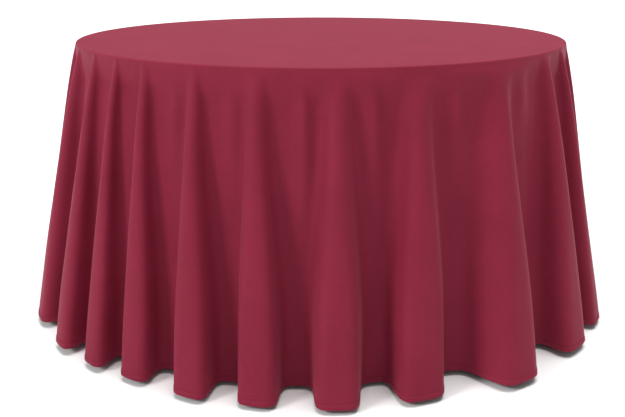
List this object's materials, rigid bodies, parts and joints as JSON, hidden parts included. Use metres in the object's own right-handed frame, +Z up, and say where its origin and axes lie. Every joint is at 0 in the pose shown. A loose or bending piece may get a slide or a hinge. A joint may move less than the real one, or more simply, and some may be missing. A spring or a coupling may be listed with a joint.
{
  "type": "draped tablecloth on a folding table",
  "caption": "Floor-length round tablecloth hanging in deep folds over a round folding banquet table with hinged leg frames and stays.",
  "frame": {"origin": "on the floor under the middle of the table", "axes": "+Z up; +X along the table from one folding leg frame to the other, +Y to the back of the table, parallel to the legs' hinge lines"},
  "size_m": [1.8406, 1.8432, 0.763],
  "materials": {
    "cloth": "matte",
    "plywood": "satin",
    "moulding": "satin",
    "steel": "satin",
    "zinc": "satin",
    "rubber": "matte"
  },
  "bodies": {
    "top": {"tabletop": "plywood", "edge_moulding": "moulding", "hinge_bracket_left_front": "steel", "hinge_bracket_left_back": "steel", "stay_bracket_left": "zinc", "hinge_bracket_right_front": "steel", "hinge_bracket_right_back": "steel", "stay_bracket_right": "zinc", "screw_stay_left_a": "zinc", "screw_stay_left_b": "zinc", "screw_hinge_left_front_a": "zinc", "screw_hinge_left_front_b": "zinc", "screw_hinge_left_back_a": "zinc", "screw_hinge_left_back_b": "zinc", "screw_stay_right_a": "zinc", "screw_stay_right_b": "zinc", "screw_hinge_right_front_a": "zinc", "screw_hinge_right_front_b": "zinc", "screw_hinge_right_back_a": "zinc", "screw_hinge_right_back_b": "zinc"},
    "tablecloth": {"tablecloth": "cloth", "hem": "cloth"},
    "leg_frame_left": {"pivot_tube_left": "steel", "crossbar_left": "steel", "leg_left_front": "steel", "foot_cap_left_front": "rubber", "leg_left_back": "steel", "foot_cap_left_back": "rubber"},
    "upper_stay_left": {"upper_stay_left": "zinc"},
    "lower_stay_left": {"lower_stay_left": "zinc", "knee_rivet_left": "zinc"},
    "leg_frame_right": {"pivot_tube_right": "steel", "crossbar_right": "steel", "leg_right_front": "steel", "foot_cap_right_front": "rubber", "leg_right_back": "steel", "foot_cap_right_back": "rubber"},
    "upper_stay_right": {"upper_stay_right": "zinc"},
    "lower_stay_right": {"lower_stay_right": "zinc", "knee_rivet_right": "zinc"}
  },
  "joints": [
    {"name": "tablecloth_lift", "type": "slide", "parent": "top", "child": "tablecloth", "axis": [0, 0, 1], "range_m": [0, 0.78]},
    {"name": "leg_fold_left", "type": "hinge", "parent": "top", "child": "leg_frame_left", "pos_m": [-0.4798, -0.02, 0.703], "axis": [0, -1, 0], "range_deg": [0, 94.5]},
    {"name": "upper_stay_turn_left", "type": "hinge", "parent": "top", "child": "upper_stay_left", "pos_m": [-0.25979, -0.02, 0.728], "axis": [0, 1, 0], "range_deg": [0, 42.13]},
    {"name": "lower_stay_turn_left", "type": "hinge", "parent": "leg_frame_left", "child": "lower_stay_left", "pos_m": [-0.49706, -0.02, 0.48368], "axis": [0, -1, 0], "range_deg": [0, 35.95]},
    {"name": "leg_fold_right", "type": "hinge", "parent": "top", "child": "leg_frame_right", "pos_m": [0.48247, 0.02, 0.669], "axis": [0, 1, 0], "range_deg": [0, 94.5]},
    {"name": "upper_stay_turn_right", "type": "hinge", "parent": "top", "child": "upper_stay_right", "pos_m": [0.26247, 0.02, 0.728], "axis": [0, -1, 0], "range_deg": [0, 40.77]},
    {"name": "lower_stay_turn_right", "type": "hinge", "parent": "leg_frame_right", "child": "lower_stay_right", "pos_m": [0.49973, 0.02, 0.44968], "axis": [0, 1, 0], "range_deg": [0, 27.16]}
  ],
  "couplings": [
    {"joint": "upper_stay_turn_left", "follows": "leg_fold_left", "ratio": 0.44053},
    {"joint": "lower_stay_turn_left", "follows": "leg_fold_left", "ratio": 0.37514},
    {"joint": "upper_stay_turn_right", "follows": "leg_fold_right", "ratio": 0.42613},
    {"joint": "lower_stay_turn_right", "follows": "leg_fold_right", "ratio": 0.28215}
  ]
}
